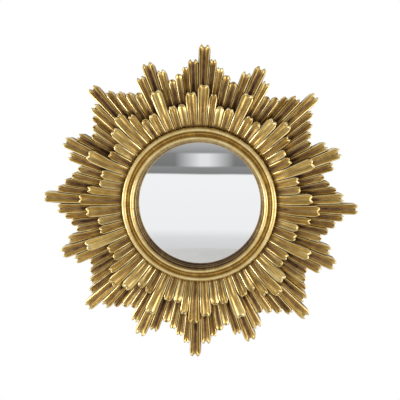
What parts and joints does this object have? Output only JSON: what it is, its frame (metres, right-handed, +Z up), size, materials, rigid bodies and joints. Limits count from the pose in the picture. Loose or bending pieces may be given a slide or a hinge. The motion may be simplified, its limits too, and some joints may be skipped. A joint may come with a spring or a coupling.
{
  "type": "sunburst wall mirror",
  "caption": "Convex round wall mirror in a gilt sunburst frame: a moulded ring with two tiers of fluted rays, pointed all round.",
  "frame": {"origin": "on the flat pad at the frame's back, in the wall plane, midway across the pad and straight above the glass", "axes": "+Z up, the mirror faces -Y, +Y points into the wall, +X to the right as seen from the front"},
  "size_m": [0.5, 0.0415, 0.4999],
  "materials": {
    "antique_gold": "antique gilding, burnished on the rims, brown in the hollows",
    "silvered_glass": "polished, silvered behind",
    "fibreboard": "plain matt",
    "zinc_plated_steel": "zinc plated"
  },
  "bodies": {
    "root": {"sunburst_frame": "antique_gold", "mirror_glass": "silvered_glass", "back_board": "fibreboard", "hanger_strap": "zinc_plated_steel"}
  },
  "joints": []
}
